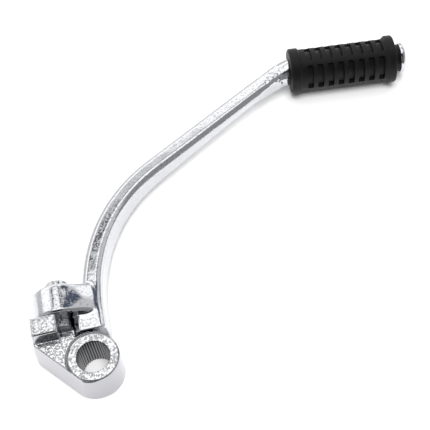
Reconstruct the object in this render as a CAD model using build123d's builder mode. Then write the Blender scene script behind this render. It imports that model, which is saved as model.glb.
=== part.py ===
import os
from math import acos, atan2, cos, degrees, radians, sin, sqrt, tan

from build123d import *

# Folding kick start lever. Z is the axis of the splined bore, with Z = 0 on the boss's underside.
# The folding pivot lies along Y. The lever is drawn with its shank in the plane of the boss, as folded.

# Splined boss, in millimetres and degrees
spline_count = 38
spline_land_radius = 7.85
spline_root_radius = 8.35
spline_land_share = 0.45
ring_radius = 12.7
ring_height = 20.5
ring_edge = 0.4
boss_draft = 4.4
boss_corner_radius = 3.0
web_round_radius = 13.4
web_round_x = -1.2
web_round_y = 0.6
web_rise = 0.5

# Pivot
pivot_offset = 13.6
hub_radius = 13.5
hub_near = 24.4
hub_length = 15.8
hub_gap = 0.5
hub_edge = 0.9
post_radius = 6.0
post_clearance = 0.05
post_root = 4.0

# Stop lug on the boss and claw on the lever
fold_angle = 58
stop_clearance = 0.3
lug_near = 11.9
lug_reach = 15.4
lug_wall_offset = 0.7
lug_edge = 0.7
claw_length = 9.3
claw_wall_offset = 6.8
claw_gap = 0.7
shelf_reach = 16.0

# Retaining washer and ring on the end of the post
washer_radius = 8.8
washer_thickness = 1.4
washer_clearance = 0.1
clip_radius = 7.4
clip_thickness = 1.2
clip_gap_angle = 60
clip_gap_direction = 60
clip_ear_radius = 1.5
clip_clearance = 0.05
groove_depth = 0.7
post_tip = 3.8
post_chamfer = 0.8

# Detent
ball_radius = 2.4
ball_clearance = 0.05
ball_travel = 0.5
ball_sink = 0.1
pocket_clearance = 0.2
detent_hole_depth = 9.0
spring_wire_radius = 0.35
spring_turns = 2.5
spring_side_gap = 0.2
spring_end_gap = 0.03

# Forged shank
shank_width = 10.8
shank_height = 12.6
shank_edge = 1.2
parting_rise = 3.4
upper_draft = 30
root_drop = 11.5
root_foot = 12.0
blend_share = 0.23
blend_drop = 10.0
blend_foot = 10.6
bend_share = 0.55
bend_drop = 6.2
bend_foot = 8.2
neck_drop = 4.6
neck_foot = 6.2
root_reach = 22.4
hub_flat_reach = 18.8
root_blend_radius = 98
claw_straight = 10.5
root_angle = 71
root_straight = 1.0
bend_radius = 85
shank_angle = 30.5
shank_straight = 95.9
neck_radius = 10
neck_run = 3.7
neck_overrun = 5.0

# Grip spindle and its end head
grip_angle = -5.2
spindle_radius = 7.0
head_radius = 8.75
head_thickness = 4.0
head_edge = 1.8
head_crown = 0.7

# Rubber grip
grip_length = 60.1
grip_body_radius = 11.9
collar_radius = 12.9
collar_length = 5.6
collar_step = 0.6
flange_radius = 13.4
flange_length = 2.0
flare_length = 3.0
rubber_edge = 0.8
lip_radius = 7.7
lip_length = 2.9
slot_count = 8
slot_rows = 4
slot_pitch = 5.85
slot_width = 3.3
slot_first = 10.8
slot_depth = 2.0
slot_rib_width = 2.8
slot_rib_angle = -71

os.makedirs("parts", exist_ok=True)


def direction(angle):
    return Vector(cos(radians(angle)), sin(radians(angle)), 0)


# Places worked out from the driving dimensions
pivot_x = -pivot_offset
pivot_height = hub_radius
web_height = pivot_height + post_radius + web_rise
lug_height = pivot_height + hub_radius
boss_far = hub_near - hub_gap
hub_far = hub_near + hub_length
claw_near = hub_near - claw_length
web_far = claw_near - claw_gap
lug_left = pivot_x - lug_reach
lug_wall = pivot_x - lug_wall_offset
column_right = pivot_x + post_radius
shelf_right = pivot_x + shelf_reach
half_height = shank_height / 2
half_width = shank_width / 2
shelf_height = pivot_height - half_height - stop_clearance
detent_y = hub_near + hub_length / 2
pivot_axis = Axis((pivot_x, 0, pivot_height), (0, 1, 0))
post_plane = Plane((pivot_x, 0, pivot_height), x_dir=(0, 1, 0), z_dir=(1, 0, 0))
detent_plane = Plane((pivot_x, detent_y, pivot_height))

washer_start = hub_far + washer_clearance
clip_start = washer_start + washer_thickness + washer_clearance
groove_radius = post_radius - groove_depth
post_end = clip_start + clip_thickness + post_tip

ball_centre = post_radius - ball_sink - ball_radius
ball_hole_radius = ball_radius + ball_clearance
pocket_reach = ball_centre + ball_travel + ball_radius + pocket_clearance
spring_radius = ball_hole_radius - spring_side_gap - spring_wire_radius
spring_floor = post_radius - detent_hole_depth + spring_wire_radius + spring_end_gap
ball_reach = ball_radius + spring_wire_radius + spring_end_gap
spring_top = ball_centre - sqrt(ball_reach**2 - spring_radius**2)

claw_middle = pivot_x + root_reach - half_width
root_tangent = root_blend_radius * tan(radians(90 - root_angle) / 2)
bend_tangent = bend_radius * tan(radians(root_angle - shank_angle) / 2)
neck_tangent = neck_radius * tan(radians(shank_angle - grip_angle) / 2)
root_corner = Vector(claw_middle, claw_near + claw_straight + root_tangent, 0)
bend_corner = root_corner + direction(root_angle) * (root_tangent + root_straight + bend_tangent)
neck_corner = bend_corner + direction(shank_angle) * (bend_tangent + shank_straight + neck_tangent)
grip_start = neck_corner + direction(grip_angle) * neck_run + Vector(0, 0, pivot_height)
grip_axis = Axis(grip_start, direction(grip_angle))
grip_plane = Plane(grip_start, x_dir=direction(grip_angle), z_dir=direction(grip_angle - 90))
grip_end_plane = Plane(grip_start, x_dir=direction(grip_angle - 90), z_dir=direction(grip_angle))


def pivot_section(distance):
    return Plane((pivot_x, distance, pivot_height), x_dir=(1, 0, 0), z_dir=(0, -1, 0))


# Boss: stop lug, shelf under the claw, web, splined ring and the pivot post
web_round = Vector(web_round_x, web_round_y, 0)
lug_corner = Vector(lug_left, lug_near, 0) - web_round
corner_angle = degrees(atan2(lug_corner.Y, lug_corner.X))
tangent_angle = corner_angle + degrees(acos(web_round_radius / lug_corner.length))
tangent_point = web_round + direction(tangent_angle) * web_round_radius
wall_lean = Vector(0, 0, sin(radians(boss_draft)))
diagonal_out = direction(tangent_angle) * cos(radians(boss_draft)) + wall_lean
diagonal_wall = Plane(tangent_point, z_dir=diagonal_out)
left_wall = Plane((lug_left, 0, 0), z_dir=Vector(-cos(radians(boss_draft)), 0, 0) + wall_lean)
spline_step = 360 / spline_count
groove_half_angle = radians(spline_step * (1 - spline_land_share) / 2)
groove_half_width = spline_land_radius * sin(groove_half_angle)
groove_mouth = spline_land_radius * cos(groove_half_angle)


def boss_outline(*right_side):
    left_side = [(tangent_point.X, tangent_point.Y), (lug_left, lug_near), (lug_left, boss_far)]
    return [*left_side, *right_side, (right_side[-1][0], web_round_y), (web_round_x, web_round_y)]


boss_steps = [
    (shelf_height, [(shelf_right, boss_far)]),
    (pivot_height, [(column_right, boss_far)]),
    (web_height, [(lug_wall, boss_far), (lug_wall, web_far), (column_right, web_far)]),
]

with BuildPart() as boss:
    with BuildSketch():
        with Locations((lug_left, lug_near)):
            Rectangle(lug_reach + post_radius, boss_far - lug_near + post_root, align=Align.MIN)
        fillet(vertices().group_by(Axis.X)[0], boss_corner_radius)
    extrude(amount=lug_height, taper=boss_draft)
    split(bisect_by=Plane.YZ.offset(lug_wall), keep=Keep.BOTTOM)
    split(bisect_by=Plane((0, boss_far, 0), z_dir=(0, 1, 0)), keep=Keep.BOTTOM)
    chamfer(faces().sort_by(Axis.Z)[-1].edges(), lug_edge)
    for step_height, right_side in boss_steps:
        with BuildSketch():
            with BuildLine():
                Polyline(*boss_outline(*right_side), close=True)
            make_face()
            fillet(vertices().group_by(Axis.X)[0], boss_corner_radius)
            with Locations((web_round_x, web_round_y)):
                Circle(web_round_radius)
        extrude(amount=step_height)
    for draft_plane in (diagonal_wall, left_wall):
        split(bisect_by=draft_plane, keep=Keep.BOTTOM)
    with BuildSketch():
        Circle(ring_radius)
    extrude(amount=ring_height)
    ring_rim = edges().filter_by(GeomType.CIRCLE).filter_by_position(Axis.Z, ring_height, ring_height)
    chamfer(ring_rim, ring_edge)
    with BuildSketch(post_plane):
        with BuildLine():
            Polyline(
                (boss_far - post_root, 0),
                (boss_far - post_root, post_radius),
                (clip_start, post_radius),
                (clip_start, groove_radius),
                (clip_start + clip_thickness, groove_radius),
                (clip_start + clip_thickness, post_radius),
                (post_end - post_chamfer, post_radius),
                (post_end, post_radius - post_chamfer),
                (post_end, 0),
                close=True,
            )
        make_face()
    revolve(axis=pivot_axis)
    with BuildSketch():
        Circle(spline_land_radius)
        with PolarLocations(0, spline_count, start_angle=spline_step / 2):
            Polygon(
                (0, 0),
                (groove_mouth, -groove_half_width),
                (spline_root_radius, 0),
                (groove_mouth, groove_half_width),
                align=None,
            )
    extrude(amount=ring_height, mode=Mode.SUBTRACT)
    with BuildSketch(detent_plane.offset(post_radius - detent_hole_depth)):
        Circle(ball_hole_radius)
    extrude(amount=detent_hole_depth, mode=Mode.SUBTRACT)


# Lever: claw, hub, forged shank, grip spindle and end head in one piece
neck_end = neck_corner + direction(grip_angle) * (neck_run + neck_overrun)
half_top = half_width - (half_height - parting_rise) * tan(radians(upper_draft))

# Sections along the shank: share of its path, depth below the pivot and half of the foot's width
shank_stations = [
    (0, root_drop, root_foot / 2),
    (blend_share, blend_drop, blend_foot / 2),
    (bend_share, bend_drop, bend_foot / 2),
    (1, neck_drop, neck_foot / 2),
]

# The stop face of the claw is the lug's wall turned back by the fold
stop_normal = Vector(cos(radians(fold_angle)), -sin(radians(fold_angle)))
stop_along = Vector(sin(radians(fold_angle)), cos(radians(fold_angle)))
stop_foot = stop_normal * (stop_clearance - lug_wall_offset)
stop_cut = [
    stop_foot - stop_along * root_reach,
    stop_foot + stop_along * root_reach,
    stop_foot + stop_along * root_reach - stop_normal * root_reach,
    stop_foot - stop_along * root_reach - stop_normal * root_reach,
]

with BuildPart() as hub_blank:
    with BuildSketch(pivot_section(hub_near)):
        Circle(hub_radius)
        with BuildLine():
            Line((hub_flat_reach, -half_height), (hub_flat_reach, half_height))
        make_hull()
    extrude(amount=-hub_length)
    chamfer(faces().sort_by(Axis.Y)[0].edges() + faces().sort_by(Axis.Y)[-1].edges(), hub_edge)

with BuildPart() as kick_arm:
    with BuildLine(Plane.XY.offset(pivot_height)) as shank_path:
        FilletPolyline(
            (claw_middle, claw_near),
            (root_corner.X, root_corner.Y),
            (bend_corner.X, bend_corner.Y),
            (neck_corner.X, neck_corner.Y),
            (neck_end.X, neck_end.Y),
            radius=[root_blend_radius, bend_radius, neck_radius],
        )
    for share, drop, half_foot in shank_stations:
        along = shank_path.line % share
        with BuildSketch(Plane(shank_path.line @ share, x_dir=(-along.Y, along.X, 0), z_dir=along)):
            with BuildLine():
                Polyline(
                    (-half_top, half_height),
                    (half_top, half_height),
                    (half_width, parting_rise),
                    (half_foot, -drop),
                    (-half_foot, -drop),
                    (-half_width, parting_rise),
                    close=True,
                )
            make_face()
            chamfer(vertices().group_by(Axis.Y)[0] + vertices().group_by(Axis.Y)[-1], shank_edge)
    sweep(path=shank_path.line, multisection=True)
    split(bisect_by=grip_end_plane, keep=Keep.BOTTOM)
    with BuildSketch(pivot_section(claw_near - claw_gap)):
        with Locations((claw_wall_offset, -half_height)):
            Rectangle(root_reach, hub_radius, align=(Align.MIN, Align.MAX))
    extrude(amount=-claw_length - claw_gap, mode=Mode.SUBTRACT)
    with BuildSketch(pivot_section(claw_near)):
        with Locations((claw_wall_offset, -half_height)):
            Rectangle(root_reach - half_width - claw_wall_offset, shank_height, align=Align.MIN)
    extrude(amount=-claw_length)
    with BuildSketch(pivot_section(claw_near - claw_gap)):
        with BuildLine():
            Polyline(*stop_cut, close=True)
        make_face()
    extrude(amount=-claw_length - claw_gap - hub_edge, mode=Mode.SUBTRACT)
    add(hub_blank.part)
    with BuildSketch(grip_plane):
        with BuildLine():
            head_start = grip_length + lip_length
            head_end = head_start + head_thickness
            Polyline(
                (-neck_overrun, 0),
                (-neck_overrun, half_width),
                (0, spindle_radius),
                (head_start, spindle_radius),
                (head_start, head_radius - head_crown),
                (head_start + head_crown, head_radius),
                (head_end - head_edge, head_radius),
                (head_end - head_edge / 4, head_radius - head_edge * 3 / 4),
                (head_end, head_radius - head_edge * 2),
                (head_end, 0),
                close=True,
            )
        make_face()
    revolve(axis=grip_axis)
    with BuildSketch(pivot_section(hub_near)):
        Circle(post_radius + post_clearance)
    extrude(amount=-hub_length, mode=Mode.SUBTRACT)
    with BuildSketch(pivot_section(claw_near - claw_gap)):
        Circle(post_radius + post_clearance)
    extrude(amount=-claw_length - claw_gap, mode=Mode.SUBTRACT)
    for pocket_angle in (90, 90 - fold_angle):
        pocket_plane = detent_plane.rotated((0, 90 - pocket_angle, 0))
        with BuildSketch(pocket_plane):
            Circle(ball_radius + pocket_clearance)
        extrude(amount=pocket_reach, mode=Mode.SUBTRACT)


# Rubber grip
with BuildPart() as grip_rubber:
    with BuildSketch(grip_plane):
        with BuildLine():
            flange_start = grip_length - flange_length
            Polyline(
                (0, spindle_radius),
                (0, collar_radius - rubber_edge),
                (rubber_edge, collar_radius),
                (collar_length - collar_step, collar_radius),
                (collar_length, grip_body_radius),
                (flange_start - flare_length, grip_body_radius),
                (flange_start, flange_radius),
                (grip_length - rubber_edge, flange_radius),
                (grip_length, flange_radius - rubber_edge),
                (grip_length, lip_radius),
                (grip_length + lip_length, lip_radius),
                (grip_length + lip_length, spindle_radius),
                close=True,
            )
        make_face()
    revolve(axis=grip_axis)
    for slot in range(slot_count):
        with BuildSketch(grip_end_plane.offset(slot_first + slot * slot_pitch - slot_width / 2)):
            Circle(flange_radius)
            RegularPolygon(grip_body_radius - slot_depth, slot_rows * 3, rotation=slot_rib_angle, mode=Mode.SUBTRACT)
            with PolarLocations(0, slot_rows, start_angle=slot_rib_angle):
                Rectangle(flange_radius * 2, slot_rib_width, align=(Align.MIN, Align.CENTER), mode=Mode.SUBTRACT)
        extrude(amount=slot_width, mode=Mode.SUBTRACT)


# Washer and retaining ring
with BuildPart() as washer:
    with BuildSketch(pivot_section(washer_start)):
        Circle(washer_radius)
        Circle(post_radius + post_clearance, mode=Mode.SUBTRACT)
    extrude(amount=-washer_thickness)

ear_spread = clip_gap_angle / 2 + degrees(clip_ear_radius / clip_radius)
ear_reach = clip_radius - clip_ear_radius / 3
gap_corner = direction(clip_gap_angle / 2) * (clip_radius * 2)
ear_places = [direction(clip_gap_direction + turn) * ear_reach for turn in (ear_spread, -ear_spread)]
with BuildPart() as circlip:
    with BuildSketch(pivot_section(clip_start)):
        Circle(clip_radius)
        with PolarLocations(0, 1, start_angle=clip_gap_direction):
            Polygon(
                (0, 0),
                (gap_corner.X, -gap_corner.Y),
                (gap_corner.X, gap_corner.Y),
                align=None,
                mode=Mode.SUBTRACT,
            )
        with Locations(*ear_places):
            Circle(clip_ear_radius)
        Circle(groove_radius + clip_clearance, mode=Mode.SUBTRACT)
    extrude(amount=-clip_thickness)


# Detent ball and its spring
with BuildPart() as detent_ball:
    with BuildSketch(Plane(detent_plane.origin, x_dir=(0, 0, 1), z_dir=(0, 1, 0))):
        with Locations((ball_centre, 0)):
            Circle(ball_radius)
            Rectangle(ball_radius * 2, ball_radius, align=(Align.CENTER, Align.MAX), mode=Mode.SUBTRACT)
    revolve(axis=Axis(detent_plane.origin, (0, 0, 1)))

with BuildPart() as detent_spring:
    with BuildLine():
        coil = Helix(
            pitch=(spring_top - spring_floor) / spring_turns,
            height=spring_top - spring_floor,
            radius=spring_radius,
            center=(pivot_x, detent_y, pivot_height + spring_floor),
        )
    with BuildSketch(Plane(coil @ 0, z_dir=coil % 0)):
        RegularPolygon(spring_wire_radius, 4)
    sweep(path=coil, is_frenet=True)


for name, piece in (
    ("boss", boss),
    ("kick_arm", kick_arm),
    ("grip_rubber", grip_rubber),
    ("washer", washer),
    ("circlip", circlip),
    ("detent_ball", detent_ball),
    ("detent_spring", detent_spring),
):
    piece.part.label = name
    export_step(piece.part, f"parts/{name}.step")
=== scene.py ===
import math

import bmesh
import bpy
from mathutils import Matrix, Vector, noise


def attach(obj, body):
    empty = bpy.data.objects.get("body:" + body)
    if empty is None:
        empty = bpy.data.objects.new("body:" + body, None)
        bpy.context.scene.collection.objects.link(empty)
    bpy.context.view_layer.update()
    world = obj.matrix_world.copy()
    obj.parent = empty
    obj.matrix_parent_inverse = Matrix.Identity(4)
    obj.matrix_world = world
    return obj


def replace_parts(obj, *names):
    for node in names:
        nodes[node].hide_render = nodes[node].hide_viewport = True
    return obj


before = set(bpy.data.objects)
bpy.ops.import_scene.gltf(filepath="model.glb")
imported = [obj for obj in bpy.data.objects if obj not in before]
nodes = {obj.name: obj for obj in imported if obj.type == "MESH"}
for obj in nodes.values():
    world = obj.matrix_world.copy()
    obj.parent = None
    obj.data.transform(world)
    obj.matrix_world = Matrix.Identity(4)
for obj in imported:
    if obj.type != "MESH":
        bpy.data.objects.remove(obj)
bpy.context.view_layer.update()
mm = 0.001
looseGap = 0.002  # CAD corners closer than this are one, in mm
smoothShare = 0.5  # how far a smoothing round moves each corner
print("frame loaded:", ", ".join(sorted(nodes)))


def heading(angle):
    return Vector((math.cos(math.radians(angle)), math.sin(math.radians(angle)), 0))


def newObject(name, data):
    obj = bpy.data.objects.new(name, data)
    bpy.context.scene.collection.objects.link(obj)
    return obj


def objectFromBm(bm, name):
    mesh = bpy.data.meshes.new(name)
    bm.to_mesh(mesh)
    bm.free()
    return newObject(name, mesh)


def bake(obj):  # modifiers become plain mesh
    depsgraph = bpy.context.evaluated_depsgraph_get()
    mesh = bpy.data.meshes.new_from_object(obj.evaluated_get(depsgraph))
    obj.modifiers.clear()
    obj.data = mesh
    return obj


def mergedCopy(nodeName):  # a CAD node's mesh with its loose triangles joined
    bm = bmesh.new()
    bm.from_mesh(nodes[nodeName].data)
    bmesh.ops.remove_doubles(bm, verts=bm.verts, dist=looseGap * mm)
    return bm


def joinLoops(bm, low, high):  # a band of faces between two closed rows of corners
    for step in range(len(low)):
        after = (step + 1) % len(low)
        bm.faces.new((low[step], low[after], high[after], high[step]))


def joinRows(bm, rows):  # bands from the first row to the last, both ends closed
    for low, high in zip(rows, rows[1:]):
        joinLoops(bm, low, high)
    bm.faces.new(list(reversed(rows[0])))
    bm.faces.new(rows[-1])


def aboutX(bm, x, radius, angle):
    return bm.verts.new((x * mm, radius * mm * math.cos(angle), radius * mm * math.sin(angle)))


def addRing(bm, profile, segments):  # closed profile of (x, radius) turned about X
    rings = []
    for turn in range(segments):
        angle = 2 * math.pi * turn / segments
        rings.append([aboutX(bm, x, radius, angle) for x, radius in profile])
    for turn in range(segments):
        joinLoops(bm, rings[turn], rings[(turn + 1) % segments])
    bmesh.ops.recalc_face_normals(bm, faces=bm.faces)


def addTube(bm, stations, segments):  # round sections, each with its place, heading and radius
    rings = []
    for place, angle, radius in stations:
        side = heading(angle + 90)
        ring = []
        for step in range(segments):
            turn = 2 * math.pi * step / segments
            reach = side * math.cos(turn) + Vector((0, 0, math.sin(turn)))
            ring.append(bm.verts.new((Vector(place) + reach * radius) * mm))
        rings.append(ring)
    joinRows(bm, rings)


# Repeats whatever mesh carries it along a line, each copy turned a little more than the last
def makeRepeatTree():
    tree = bpy.data.node_groups.new("repeatAlong", "GeometryNodeTree")
    face = tree.interface
    face.new_socket("Geometry", in_out="INPUT", socket_type="NodeSocketGeometry")
    face.new_socket("Copies", in_out="INPUT", socket_type="NodeSocketInt")
    face.new_socket("Step", in_out="INPUT", socket_type="NodeSocketVector")
    face.new_socket("Turn", in_out="INPUT", socket_type="NodeSocketFloat")
    face.new_socket("Axis", in_out="INPUT", socket_type="NodeSocketVector")
    face.new_socket("Finish", in_out="INPUT", socket_type="NodeSocketMaterial")
    face.new_socket("Geometry", in_out="OUTPUT", socket_type="NodeSocketGeometry")
    add = tree.nodes.new
    link = tree.links.new
    source = add("NodeGroupInput")
    line = add("GeometryNodeMeshLine")
    index = add("GeometryNodeInputIndex")
    angle = add("ShaderNodeMath")
    angle.operation = "MULTIPLY"
    spin = add("FunctionNodeAxisAngleToRotation")
    copies = add("GeometryNodeInstanceOnPoints")
    realize = add("GeometryNodeRealizeInstances")
    paint = add("GeometryNodeSetMaterial")
    result = add("NodeGroupOutput")
    link(source.outputs["Copies"], line.inputs["Count"])
    link(source.outputs["Step"], line.inputs["Offset"])
    link(index.outputs[0], angle.inputs[0])
    link(source.outputs["Turn"], angle.inputs[1])
    link(source.outputs["Axis"], spin.inputs["Axis"])
    link(angle.outputs[0], spin.inputs["Angle"])
    link(line.outputs["Mesh"], copies.inputs["Points"])
    link(source.outputs["Geometry"], copies.inputs["Instance"])
    link(spin.outputs["Rotation"], copies.inputs["Rotation"])
    link(copies.outputs["Instances"], realize.inputs["Geometry"])
    link(realize.outputs["Geometry"], paint.inputs["Geometry"])
    link(source.outputs["Finish"], paint.inputs["Material"])
    link(paint.outputs["Geometry"], result.inputs["Geometry"])
    return tree


repeatTree = makeRepeatTree()


def repeat(obj, copies, step, turn, axis, finish):
    mod = obj.modifiers.new("repeat", "NODES")
    mod.node_group = repeatTree
    values = {"Copies": copies, "Step": step, "Turn": turn, "Axis": axis, "Finish": finish}
    for socket in repeatTree.interface.items_tree:
        if socket.in_out == "INPUT" and socket.name in values:
            mod[socket.identifier] = values[socket.name]
    return bake(obj)


# Materials
def newMaterial(name, metal):
    mat = bpy.data.materials.new(name)
    mat.use_nodes = True
    tree = mat.node_tree
    tree.nodes.clear()
    out = tree.nodes.new("ShaderNodeOutputMaterial")
    bsdf = tree.nodes.new("ShaderNodeBsdfPrincipled")
    bsdf.inputs["Metallic"].default_value = metal
    tree.links.new(bsdf.outputs["BSDF"], out.inputs["Surface"])
    return mat, bsdf, tree.nodes.new, tree.links.new


def noiseNode(add, link, coords, texture):
    node = add("ShaderNodeTexNoise")
    for name, value in zip(("Scale", "Detail", "Roughness"), texture):
        node.inputs[name].default_value = value
    link(coords, node.inputs["Vector"])
    return node.outputs["Fac"]


def rangeNode(add, link, value, span, toSpan):
    node = add("ShaderNodeMapRange")
    for name, limit in zip(("From Min", "From Max", "To Min", "To Max"), (*span, *toSpan)):
        node.inputs[name].default_value = limit
    link(value, node.inputs["Value"])
    return node.outputs["Result"]


def mixNode(add, link, share, first, second):  # each colour is a value or a socket
    node = add("ShaderNodeMix")
    node.data_type = "RGBA"
    link(share, node.inputs["Factor"])
    for name, colour in (("A", first), ("B", second)):
        if isinstance(colour, tuple):
            node.inputs[name].default_value = colour
        else:
            link(colour, node.inputs[name])
    return node.outputs["Result"]


def bumpNode(add, link, height, distance, under=None):
    node = add("ShaderNodeBump")
    node.inputs["Strength"].default_value = 1.0
    node.inputs["Distance"].default_value = distance
    link(height, node.inputs["Height"])
    if under:
        link(under, node.inputs["Normal"])
    return node.outputs["Normal"]


def shaded(tint, share):
    return tuple(min(1, part * share) for part in tint[:3]) + (1,)


bossChromeLook = {  # textures are scale per metre, detail and roughness, and heights are in metres
    "tint": (0.7, 0.705, 0.72, 1),
    "roughLow": 0.05,
    "roughHigh": 0.16,
    "wave": (130, 2, 0.5),  # broad forging waves
    "waveHeight": 0.0001,
    "pits": (900, 3, 0.6),  # shallow forging pits under the plating
    "pitEdge": (0.39, 0.51),  # noise level at a pit's floor and at its rim
    "pitHeight": 0.00009,
    "pitPaintedShade": 0.5,  # share of the tint left in a pit, a painted shade
    "grain": (2600, 4, 0.65),  # fine orange peel in the plating
    "grainHeight": 0.00001,
}
# Walls are the same chrome, ground smoother, with a darker tint that is painted shade on the sideways
# faces
shadedWallChromeLook = dict(
    bossChromeLook,
    tint=(0.46, 0.46, 0.49, 1),
    roughHigh=0.1,
    pitEdge=(0.2, 0.32),
    pitHeight=0.00002,
    pitPaintedShade=0.8,
)
# The rounded rim is tinted darker still: a painted dark reflection along the rim
rimShadeChromeLook = dict(shadedWallChromeLook, tint=(0.28, 0.28, 0.29, 1))
# The recess walls are duller, and their darker tint than the tops is painted shade too
recessChromeLook = dict(shadedWallChromeLook, tint=(0.52, 0.52, 0.53, 1), roughLow=0.2, roughHigh=0.25)
armChromeLook = dict(
    bossChromeLook,
    tint=(0.67, 0.675, 0.695, 1),
    roughHigh=0.14,
    waveHeight=0.00009,
    pitEdge=(0.3, 0.46),
    pitHeight=0.000018,
    pitPaintedShade=0.78,
    grainHeight=0.000006,
)


def makeChrome(name, look):
    mat, bsdf, add, link = newMaterial(name, 1.0)
    coords = add("ShaderNodeTexCoord").outputs["Object"]
    wave = noiseNode(add, link, coords, look["wave"])
    pits = noiseNode(add, link, coords, look["pits"])
    grain = noiseNode(add, link, coords, look["grain"])
    plateau = rangeNode(add, link, pits, look["pitEdge"], (0.0, 1.0))
    rough = rangeNode(add, link, plateau, (0.0, 1.0), (look["roughHigh"], look["roughLow"]))
    # Pits get a darker tint: painted shade in the pits
    shade = mixNode(add, link, plateau, shaded(look["tint"], look["pitPaintedShade"]), look["tint"])
    normal = bumpNode(add, link, wave, look["waveHeight"])
    normal = bumpNode(add, link, plateau, look["pitHeight"], normal)
    normal = bumpNode(add, link, grain, look["grainHeight"], normal)
    link(rough, bsdf.inputs["Roughness"])
    link(shade, bsdf.inputs["Base Color"])
    link(normal, bsdf.inputs["Normal"])
    return mat


rubberLook = {
    "metal": 0.0,
    "tint": (0.0045, 0.0045, 0.0047, 1),
    "shades": (0.75, 1.25),  # the grain's darkest and palest share of the tint
    "rough": (0.43, 0.57),
    "shine": 0.24,
    "grain": (2600, 5, 0.6),
    "grainSpan": (0.3, 0.7),  # noise levels that the roughness runs between
    "grainHeight": 0.00003,
}
steelLook = dict(
    rubberLook,
    metal=1.0,
    tint=(0.46, 0.46, 0.48, 1),
    rough=(0.23, 0.37),
    shine=0.5,
    grain=(900, 5, 0.6),
    grainHeight=0.00002,
)


def makePlain(name, look):
    mat, bsdf, add, link = newMaterial(name, look["metal"])
    bsdf.inputs["Specular IOR Level"].default_value = look["shine"]
    grain = noiseNode(add, link, add("ShaderNodeTexCoord").outputs["Object"], look["grain"])
    dark, pale = (shaded(look["tint"], share) for share in look["shades"])
    link(mixNode(add, link, grain, dark, pale), bsdf.inputs["Base Color"])
    link(rangeNode(add, link, grain, look["grainSpan"], look["rough"]), bsdf.inputs["Roughness"])
    link(bumpNode(add, link, grain, look["grainHeight"]), bsdf.inputs["Normal"])
    return mat


boreLook = {
    "land": (0.28, 0.28, 0.29, 1),
    # the near black root colour is painted shade in the serration roots
    "root": (0.02, 0.02, 0.022, 1),
    "fade": (7.9, 8.25),  # radii between which land turns to root
    "rough": 0.3,
}


def makeBore(name, look):  # the roots of the serrations are darkened by their radius, painted shade
    mat, bsdf, add, link = newMaterial(name, 1.0)
    flat = add("ShaderNodeVectorMath")
    flat.operation = "MULTIPLY"
    flat.inputs[1].default_value = (1, 1, 0)
    reach = add("ShaderNodeVectorMath")
    reach.operation = "LENGTH"
    link(add("ShaderNodeTexCoord").outputs["Object"], flat.inputs[0])
    link(flat.outputs["Vector"], reach.inputs[0])
    fade = tuple(radius * mm for radius in look["fade"])
    depth = rangeNode(add, link, reach.outputs["Value"], fade, (0.0, 1.0))
    link(mixNode(add, link, depth, look["land"], look["root"]), bsdf.inputs["Base Color"])
    bsdf.inputs["Roughness"].default_value = look["rough"]
    return mat


bossChrome = makeChrome("bossChrome", bossChromeLook)
shadedWallChrome = makeChrome("shadedWallChrome", shadedWallChromeLook)
rimShadeChrome = makeChrome("rimShadeChrome", rimShadeChromeLook)
recessChrome = makeChrome("recessChrome", recessChromeLook)
armChrome = makeChrome("armChrome", armChromeLook)
boreSteel = makeBore("cutBoreSteel", boreLook)
rubber = makePlain("blackRubber", rubberLook)
plainSteel = makePlain("groundSteel", steelLook)
print("materials made")


# Forged pieces: a fine skin over the CAD solid, its edges softened as forging and polishing leave them
def forgedSkin(bm, name, piece, finish):
    obj = objectFromBm(bm, name)
    skin = obj.modifiers.new("skin", "REMESH")
    skin.mode = "VOXEL"
    skin.voxel_size = piece["voxel"] * mm
    skin.use_smooth_shade = True
    smooth(obj, piece["rounds"])
    for zone in piece["swells"]:
        swell(obj, zone)
    for zone in piece["blends"]:
        blend(obj, zone)
    for zone in piece["dents"]:
        dent(obj, zone)
    obj.data.materials.clear()
    obj.data.materials.append(finish)
    return obj


def smooth(obj, rounds, group=""):
    soft = obj.modifiers.new("soft", "SMOOTH")
    soft.vertex_group = group
    soft.factor = smoothShare
    soft.iterations = rounds
    bake(obj)


def nearness(vert, zone):  # 1 at the zone's centre, falling to 0 at its reach
    share = (vert.co - Vector(zone["centre"]) * mm).length / (zone["reach"] * mm)
    return max(0, 1 - share ** 2)


def swell(obj, zone):  # crowns a flat face along one direction
    along = Vector(zone["along"]).normalized()
    for vert in obj.data.vertices:
        vert.co += along * nearness(vert, zone) ** 2 * zone["height"] * mm


def blend(obj, zone):  # rounds a corner off, most at the zone's centre
    group = obj.vertex_groups.new(name="zone")
    for vert in obj.data.vertices:
        near = nearness(vert, zone)
        if near:
            group.add([vert.index], near, "REPLACE")
    smooth(obj, zone["rounds"], group.name)
    obj.vertex_groups.clear()


def dent(obj, zone):  # leaves a stretch as uneven as it came from the forge
    outward = [vert.normal.copy() for vert in obj.data.vertices]
    for vert, away in zip(obj.data.vertices, outward):
        near = nearness(vert, zone)
        if near:
            lift = noise.noise(vert.co / (zone["size"] * mm)) * near
            vert.co += away * lift * zone["height"] * mm


def cutAway(obj, cutter):
    cut = obj.modifiers.new("cut", "BOOLEAN")
    cut.operation = "DIFFERENCE"
    cut.solver = "EXACT"
    cut.object = cutter
    cut.material_mode = "TRANSFER"
    bake(obj)
    bpy.data.objects.remove(cutter)
    return obj


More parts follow.
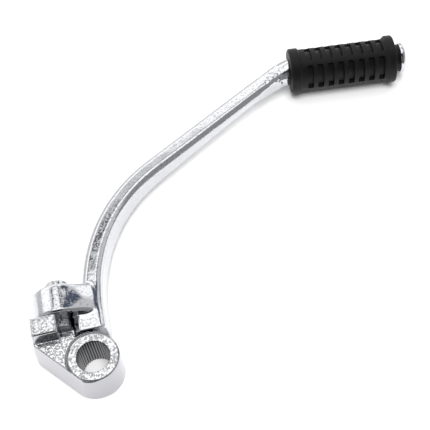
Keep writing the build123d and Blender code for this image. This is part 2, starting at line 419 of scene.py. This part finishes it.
bossPiece = {  # pieces are in mm and degrees
    "voxel": 0.34,
    "rounds": 7,
    "swells": [],
    "blends": [{"centre": (-10.5, 13, 20), "reach": 7, "rounds": 40}],
    "dents": [],
    "wallSlope": 0.72,  # faces with a smaller upward share than this are walls, ground smooth and tinted darker as painted shade
    "recess": {"level": 20.6, "from": 9.0, "facing": -0.5},  # dull walls, tinted darker than the tops as painted shade: least height, y and normal x
    "plug": {"radius": 9.0, "height": 20.5, "segments": 96},  # fills the bore until it is cut
    "bore": {
        "lands": 38,
        "landRadius": 7.85,
        "rootRadius": 8.35,
        "landShare": 0.45,
        "height": 20.5,
        "flare": 0.35,
        "past": 1,  # the cutter stands this far out at both ends
    },
    "rim": {
        "radius": 12.72,
        "height": 20.46,
        "round": 0.75,
        "past": 0.9,  # how far the cutter reaches outside the ring and above it
        "above": 1,
        "steps": 8,
        "segments": 160,
    },
}


def serrationCutter(cut):  # the bore with all its tooth spaces, flared at both mouths
    bm = bmesh.new()
    half = math.pi / cut["lands"]
    mouth = half * (1 - cut["landShare"])
    land, root = cut["landRadius"], cut["rootRadius"]
    flare, height, past = cut["flare"], cut["height"], cut["past"]
    levels = (
        (-past, flare),
        (0, flare),
        (flare, 0),
        (height - flare, 0),
        (height, flare),
        (height + past, flare),
    )
    rows = []
    for z, grow in levels:
        ring = []
        for tooth in range(cut["lands"]):
            middle = 2 * half * tooth
            for angle, radius in ((-mouth, land), (0, root), (mouth, land)):
                reach = max(radius, land + grow) * mm
                turn = middle + angle
                ring.append(bm.verts.new((reach * math.cos(turn), reach * math.sin(turn), z * mm)))
        rows.append(ring)
    joinRows(bm, rows)
    bmesh.ops.recalc_face_normals(bm, faces=bm.faces)
    obj = objectFromBm(bm, "boreCutter")
    obj.data.materials.append(boreSteel)
    return obj


def rimCutter(cut):  # rounds the ring's outer edge and tints the rounded rim darker, a painted dark reflection
    bm = bmesh.new()
    across = cut["radius"] - cut["round"]
    level = cut["height"] - cut["round"]
    top = cut["height"] + cut["above"]
    outside = cut["radius"] + cut["past"]
    profile = []
    for step in range(cut["steps"] + 1):
        turn = math.pi / 2 * step / cut["steps"]
        profile.append((level + cut["round"] * math.cos(turn), across + cut["round"] * math.sin(turn)))
    profile += [(level, outside), (top, outside), (top, across)]
    addRing(bm, profile, cut["segments"])
    obj = objectFromBm(bm, "rimCutter")
    obj.data.transform(Matrix.Rotation(-math.pi / 2, 4, "Y"))
    obj.data.polygons.foreach_set("use_smooth", [True] * len(obj.data.polygons))
    obj.data.materials.append(rimShadeChrome)
    return obj


def makeBoss(piece):
    bm = mergedCopy("boss")
    plug, recess = piece["plug"], piece["recess"]
    radius, height = plug["radius"] * mm, plug["height"] * mm
    bmesh.ops.create_cone(
        bm,
        cap_ends=True,
        segments=plug["segments"],
        radius1=radius,
        radius2=radius,
        depth=height,
        matrix=Matrix.Translation((0, 0, height / 2)),
    )
    obj = forgedSkin(bm, "bossForging", piece, bossChrome)
    shadedWallSlot, recessSlot = 1, 2  # after the forging's own finish
    obj.data.materials.append(shadedWallChrome)
    obj.data.materials.append(recessChrome)
    # Sideways faces take the darker wall and recess tints: painted shade
    for face in obj.data.polygons:
        if face.normal.z < piece["wallSlope"]:
            inside = face.center.z > recess["level"] * mm and face.center.y > recess["from"] * mm
            dull = inside and face.normal.x > recess["facing"]
            face.material_index = recessSlot if dull else shadedWallSlot
    cutAway(obj, serrationCutter(piece["bore"]))
    cutAway(obj, rimCutter(piece["rim"]))
    return obj


boss = makeBoss(bossPiece)
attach(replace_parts(boss, "boss"), "boss_body")
print("boss forged:", len(boss.data.polygons), "faces")

armPiece = {
    "voxel": 0.47,
    "rounds": 5,
    "flare": [  # the neck swells into the grip's collar
        ((112.0, 142.7, 13.6), 30.5, 5.0),
        ((121.0, 148.0, 13.4), 30.5, 5.6),
        ((127.5, 151.6, 13.4), 24, 6.5),
        ((131.8, 153.4, 13.4), 8, 7.3),
        ((135.33, 153.99, 13.5), -5.2, 7.9),
    ],
    "flareSegments": 32,
    "swells": [{"centre": (-2, 32, 23.5), "along": (0.41, 0, 0.91), "reach": 10, "height": 0.8}],
    "blends": [
        {"centre": (6, 31, 24), "reach": 12, "rounds": 60},
        {"centre": (127, 151, 13), "reach": 18, "rounds": 80},
    ],
    "dents": [{"centre": (125, 150.5, 15), "reach": 11, "size": 1.5, "height": 0.32}],
}


def makeArm(piece):
    bm = mergedCopy("kick_arm")
    addTube(bm, piece["flare"], piece["flareSegments"])
    return forgedSkin(bm, "kickArmForging", piece, armChrome)


kickArm = makeArm(armPiece)
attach(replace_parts(kickArm, "kick_arm"), "arm_body")
print("arm forged:", len(kickArm.data.polygons), "faces")

# Rubber grip, drawn along X from its inner rim and then put on the spindle
gripPiece = {
    "start": (135.383, 153.988, 13.5),
    "angle": -5.2,
    "segments": 128,
    "length": 60.1,
    "spindle": 7.02,
    "body": 11.9,
    "collar": 12.9,
    "collarLength": 5.6,
    "flange": 13.4,
    "flangeLength": 4.0,  # longer than in the CAD, closer to the photo
    "flare": 2.2,
    "lip": 7.7,
    "lipLength": 2.9,
    "collarRim": ((0, -0.9), (0.25, -0.35), (0.9, 0)),  # rounded corners, each point along and out
    "collarStep": ((-0.5, 0), (-0.1, -0.25)),
    "bodyStep": ((0, 0.2), (0.25, 0)),
    "flareCurve": ((-1, 0), (-0.6, 0.35), (-0.25, 1.05)),  # along is a share of the flare
    "flangeRim": ((-0.8, 0), (-0.2, -0.3), (0, -0.9)),
    "lipRoot": ((0, 0.3), (0.3, 0)),
    "lipRim": ((-0.4, 0), (0, -0.3)),
    "slots": 8,
    "rows": 4,
    "pitch": 5.85,
    "slotFirst": 10.8,
    "slotWidth": 3.3,
    "slotDepth": 2.0,
    "slotPast": 1,  # the cutter stands this far out of the flange
    "ribWidth": 2.8,
    "ribAngle": -66,  # a little further round than in the CAD
    "corner": 0.9,
    "cornerSteps": 4,
    "longArc": 0.3,  # a side longer than this, in radians, is bent in steps
    "arcSteps": 12,
}


def slotOutline(grip):  # one slot's (x, angle) corners, rounded
    halfArc = math.pi / grip["rows"] - grip["ribWidth"] / 2 / grip["body"]
    halfWidth = grip["slotWidth"] / 2
    corner = grip["corner"]
    outline = []
    for xSign, arcSign in ((1, -1), (1, 1), (-1, 1), (-1, -1)):
        for step in range(grip["cornerSteps"] + 1):
            turn = step / grip["cornerSteps"] * math.pi / 2
            xShare, arcShare = math.sin(turn), math.cos(turn)
            if xSign == arcSign:
                xShare, arcShare = arcShare, xShare
            x = xSign * (halfWidth - corner + corner * xShare)
            outline.append((x, arcSign * (halfArc - (corner - corner * arcShare) / grip["body"])))
    return outline


def slotCutter(grip):  # a bent bar with round corners, as wide as one slot, repeated over the grip
    bm = bmesh.new()
    inner = grip["body"] - grip["slotDepth"]
    outer = grip["flange"] + grip["slotPast"]
    outline = slotOutline(grip)
    steps = grip["arcSteps"]
    side = []
    for index, (x, arc) in enumerate(outline):
        side.append((x, arc))
        nextX, nextArc = outline[(index + 1) % len(outline)]
        if abs(nextArc - arc) > grip["longArc"]:
            for step in range(1, steps):
                side.append((x + (nextX - x) * step / steps, arc + (nextArc - arc) * step / steps))
    low = [aboutX(bm, x, inner, arc) for x, arc in side]
    high = [aboutX(bm, x, outer, arc) for x, arc in side]
    joinLoops(bm, low, high)
    for cap in (low, high):
        for step in range(len(cap) // 2 - 1):
            bm.faces.new((cap[step], cap[step + 1], cap[-2 - step], cap[-1 - step]))
    bmesh.ops.recalc_face_normals(bm, faces=bm.faces)
    obj = objectFromBm(bm, "slotCutter")
    obj.data.materials.append(rubber)
    repeat(obj, grip["rows"], (0, 0, 0), 2 * math.pi / grip["rows"], (1, 0, 0), rubber)
    repeat(obj, grip["slots"], (grip["pitch"] * mm, 0, 0), 0.0, (1, 0, 0), rubber)
    middle = math.radians(grip["ribAngle"] + 180 / grip["rows"])
    place = Matrix.Translation((grip["slotFirst"] * mm, 0, 0)) @ Matrix.Rotation(middle, 4, "X")
    obj.data.transform(place)
    return obj


def bend(x, radius, offsets, stretch=1):  # profile points round one corner
    return [(x + along * stretch, radius + out) for along, out in offsets]


def makeGrip(grip):
    bm = bmesh.new()
    length, collarLength = grip["length"], grip["collarLength"]
    flangeStart = length - grip["flangeLength"]
    end = length + grip["lipLength"]
    profile = [(0, grip["spindle"])]
    profile += bend(0, grip["collar"], grip["collarRim"])
    profile += bend(collarLength, grip["collar"], grip["collarStep"])
    profile += bend(collarLength, grip["body"], grip["bodyStep"])
    profile += bend(flangeStart, grip["body"], grip["flareCurve"], grip["flare"])
    profile += [(flangeStart, grip["flange"])]
    profile += bend(length, grip["flange"], grip["flangeRim"])
    profile += bend(length, grip["lip"], grip["lipRoot"])
    profile += bend(end, grip["lip"], grip["lipRim"])
    profile += [(end, grip["spindle"])]
    addRing(bm, profile, grip["segments"])
    obj = objectFromBm(bm, "gripRubber")
    obj.data.materials.append(rubber)
    cutAway(obj, slotCutter(grip))
    x = heading(grip["angle"])
    near = heading(grip["angle"] - 90)
    turn = Matrix((x, near, x.cross(near))).transposed().to_4x4()
    obj.data.transform(Matrix.Translation(Vector(grip["start"]) * mm) @ turn)
    return obj


gripRubber = makeGrip(gripPiece)
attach(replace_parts(gripRubber, "grip_rubber"), "arm_body")
print("grip made:", len(gripRubber.data.polygons), "faces")

for nodeName in ("washer", "circlip", "detent_ball", "detent_spring"):
    nodes[nodeName].data.materials.clear()
    nodes[nodeName].data.materials.append(plainSteel)

# Camera at the photograph's angle, its place in metres and its turns in degrees
cameraPlace = {
    "spot": (0.0404, -0.1996, 0.4316),
    "tilt": 57.15,
    "roll": 5.98,
    "turn": 7.0,
    "lens": 79.53,
    "sensor": 36,
    "clip": 0.01,
}


def makeCamera(place):
    tilt, roll, turn = (math.radians(place[key]) for key in ("tilt", "roll", "turn"))
    right = Vector((1, 0, 0))
    forward = Vector((0, math.cos(tilt), -math.sin(tilt)))
    down = forward.cross(right)
    across = right * math.cos(roll) + down * math.sin(roll)
    fall = down * math.cos(roll) - right * math.sin(roll)
    toRow = Matrix.Rotation(-turn, 3, "Z")
    axes = [toRow @ across, toRow @ -fall, toRow @ -forward]
    camera = newObject("photoCamera", bpy.data.cameras.new("photoCamera"))
    camera.data.lens = place["lens"]
    camera.data.sensor_width = place["sensor"]
    camera.data.clip_start = place["clip"]
    camera.matrix_world = Matrix.Translation(place["spot"]) @ Matrix(axes).transposed().to_4x4()
    bpy.context.scene.camera = camera


makeCamera(cameraPlace)

# White studio, in metres: a dim room with bright and dark cards round the lever, and a lamp overhead
studio = {
    "floor": {"tint": (0.95, 0.95, 0.95, 1), "rough": 0.9, "size": 3.0, "level": -0.0002},
    "lamp": {"spot": (0.12, -0.26, 1.1), "target": (0.07, 0.06, 0), "size": 0.5, "power": 11.2},
    "room": (0.04, 0.042, 0.047, 1),
    "cards": [  # turn from the back wall to the right and rise above the floor, in degrees
        {"tint": (0.55, 0.55, 0.56, 1), "turn": (-150, -25), "rise": (-5, 46), "soft": 6},
        {"tint": (0.8, 0.8, 0.81, 1), "turn": (-62, 62), "rise": (-30, 20), "soft": 6},
        {"tint": (1.5, 1.5, 1.5, 1), "turn": (-62, 35), "rise": (22, 53.5), "soft": 3},
        {"tint": (0.75, 0.75, 0.76, 1), "turn": (-62, 35), "rise": (52.8, 56), "soft": 2.5},
        {"tint": (0.34, 0.34, 0.345, 1), "turn": (88, 145), "rise": (-8, 62), "soft": 8},
        {"tint": (0.1, 0.12, 0.17, 1), "turn": (33, 60), "rise": (36, 60), "soft": 7},
        {"tint": (1.4, 1.4, 1.4, 1), "turn": (35, 61), "rise": (14, 37), "soft": 7},
        {"tint": (0.75, 0.75, 0.76, 1), "turn": (58, 92), "rise": (12, 58), "soft": 5},
        {"tint": (0.3, 0.3, 0.31, 1), "turn": (142, 170), "rise": (0, 42), "soft": 8},
        {"tint": (1.5, 1.5, 1.5, 1), "turn": (-105, 105), "rise": (58.8, 80), "soft": 2},
        {"tint": (1.5, 1.5, 1.5, 1), "turn": (-190, 190), "rise": (75, 95), "soft": 6},
    ],
}


def makeFloor(look):
    bm = bmesh.new()
    bmesh.ops.create_grid(bm, x_segments=1, y_segments=1, size=look["size"])
    floor = objectFromBm(bm, "floor")
    floor.location.z = look["level"]
    mat, bsdf = newMaterial("paleFloor", 0.0)[:2]
    bsdf.inputs["Base Color"].default_value = look["tint"]
    bsdf.inputs["Roughness"].default_value = look["rough"]
    floor.data.materials.append(mat)


def mathNode(add, link, operation, first, second):
    node = add("ShaderNodeMath")
    node.operation = operation
    for slot, value in enumerate((first, second)):
        if isinstance(value, float):
            node.inputs[slot].default_value = value
        else:
            link(value, node.inputs[slot])
    return node.outputs["Value"]


def bandNode(add, link, value, band, soft):  # 1 inside the band, falling to 0 over its soft edges
    low, high = band
    half = soft / 2
    rising = rangeNode(add, link, value, (low - half, low + half), (0.0, 1.0))
    falling = rangeNode(add, link, value, (high - half, high + half), (1.0, 0.0))
    return mathNode(add, link, "MULTIPLY", rising, falling)


def makeSky(room, cards):
    world = bpy.data.worlds.new("studio")
    bpy.context.scene.world = world
    world.use_nodes = True
    add, link = world.node_tree.nodes.new, world.node_tree.links.new
    world.node_tree.nodes.clear()
    out = add("ShaderNodeOutputWorld")
    light = add("ShaderNodeBackground")
    coords = add("ShaderNodeTexCoord")
    split = add("ShaderNodeSeparateXYZ")
    link(coords.outputs["Generated"], split.inputs["Vector"])
    toDegrees = math.degrees(1)
    turn = mathNode(add, link, "ARCTAN2", split.outputs["X"], split.outputs["Y"])
    turn = mathNode(add, link, "MULTIPLY", turn, toDegrees)
    rise = mathNode(add, link, "ARCSINE", split.outputs["Z"], 0.0)
    rise = mathNode(add, link, "MULTIPLY", rise, toDegrees)
    seen = room
    for card in cards:
        across = bandNode(add, link, turn, card["turn"], card["soft"])
        upward = bandNode(add, link, rise, card["rise"], card["soft"])
        shown = mathNode(add, link, "MULTIPLY", across, upward)
        seen = mixNode(add, link, shown, seen, card["tint"])
    link(seen, light.inputs["Color"])
    link(light.outputs["Background"], out.inputs["Surface"])


def makeLamp(name, place):
    data = bpy.data.lights.new(name, "AREA")
    data.shape = "SQUARE"
    data.size = place["size"]
    data.energy = place["power"]
    lamp = newObject(name, data)
    lamp.location = place["spot"]
    lamp.visible_glossy = False  # only the cards show in the chrome
    aim = Vector(place["target"]) - Vector(place["spot"])
    lamp.rotation_euler = aim.to_track_quat("-Z", "Y").to_euler()


makeFloor(studio["floor"])
makeSky(studio["room"], studio["cards"])
makeLamp("topLamp", studio["lamp"])
bpy.context.scene.view_settings.view_transform = "Standard"
print("studio ready")
